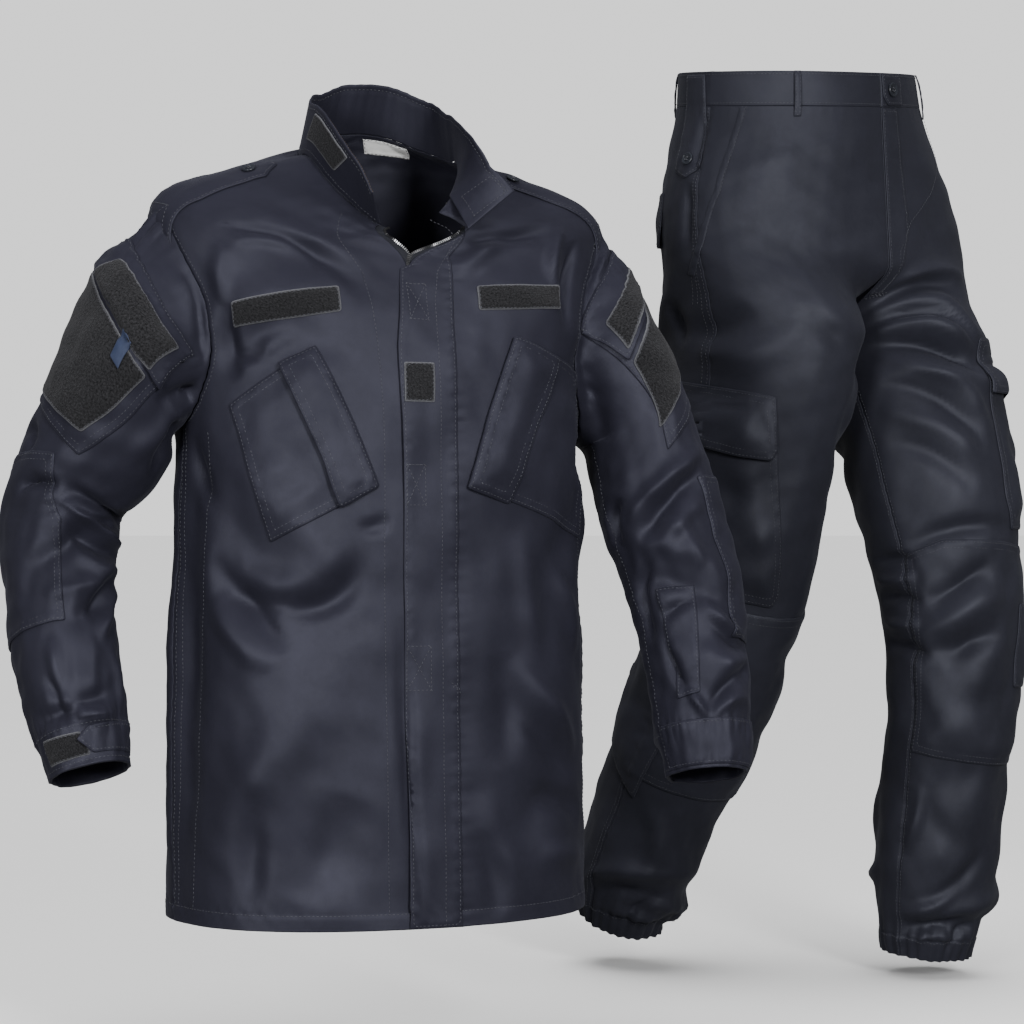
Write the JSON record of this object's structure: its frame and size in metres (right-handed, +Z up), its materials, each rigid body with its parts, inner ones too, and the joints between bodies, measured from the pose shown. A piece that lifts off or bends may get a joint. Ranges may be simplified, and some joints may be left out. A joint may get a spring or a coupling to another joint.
{
  "type": "two-piece combat uniform",
  "caption": "Long-sleeved uniform coat with stand collar, sleeve and chest pockets, beside cargo trousers with knee patches, both filled out as if worn.",
  "frame": {"origin": "in the middle of the coat's neck, level with the tops of the shoulders, where a wearer's shoulders hold the coat up", "axes": "+Z up, -Y the way that the pair is seen from, +X towards the coat wearer's left; the coat faces 20 degrees to the side and the trousers 45"},
  "size_m": [1.0922, 0.8553, 1.0574],
  "materials": {
    "twill": "dark navy poly-cotton twill with a soft sheen",
    "loop_tape": "charcoal hook-and-loop tape with a fuzzy pile",
    "button": "dark sewn-through plastic",
    "label": "blank white satin tape",
    "zip": "dark zip tape"
  },
  "bodies": {
    "root": {"coat_front_right": "twill", "coat_front_left": "twill", "coat_back": "twill", "sleeve_right": "twill", "sleeve_left": "twill", "collar": "twill", "collar_hook": "loop_tape", "placket": "twill", "rank_tab": "loop_tape", "zip": "zip", "neck_label": "label", "epaulette_right": "twill", "epaulette_left": "twill", "epaulette_button_right": "button", "epaulette_button_left": "button", "name_tape_right": "loop_tape", "name_tape_left": "loop_tape", "chest_pocket_right": "twill", "chest_pocket_left": "twill", "chest_flap_right": "twill", "chest_flap_left": "twill", "sleeve_pocket_right": "twill", "sleeve_pocket_left": "twill", "sleeve_flap_right": "twill", "sleeve_flap_left": "twill", "sleeve_loop_right": "loop_tape", "sleeve_loop_left": "loop_tape", "flap_loop_right": "loop_tape", "flap_loop_left": "loop_tape", "elbow_patch_right": "twill", "elbow_patch_left": "twill", "pen_pocket": "twill", "cuff_hook_right": "loop_tape", "cuff_tab_right": "twill", "cuff_tab_left": "twill", "waistband": "twill", "waist_tab": "twill", "waist_button": "button", "trouser_front_right": "twill", "trouser_front_left": "twill", "trouser_back_right": "twill", "trouser_back_left": "twill", "fly": "twill", "side_tab_right": "twill", "side_tab_left": "twill", "side_button_right": "button", "side_button_left": "button", "belt_loop_right": "twill", "belt_loop_left": "twill", "cargo_pocket_right": "twill", "cargo_pocket_left": "twill", "cargo_flap_right": "twill", "cargo_flap_left": "twill", "knee_patch_right": "twill", "knee_patch_left": "twill", "calf_pocket_right": "twill", "calf_pocket_left": "twill", "seat_flap_right": "twill", "seat_flap_left": "twill"}
  },
  "joints": []
}
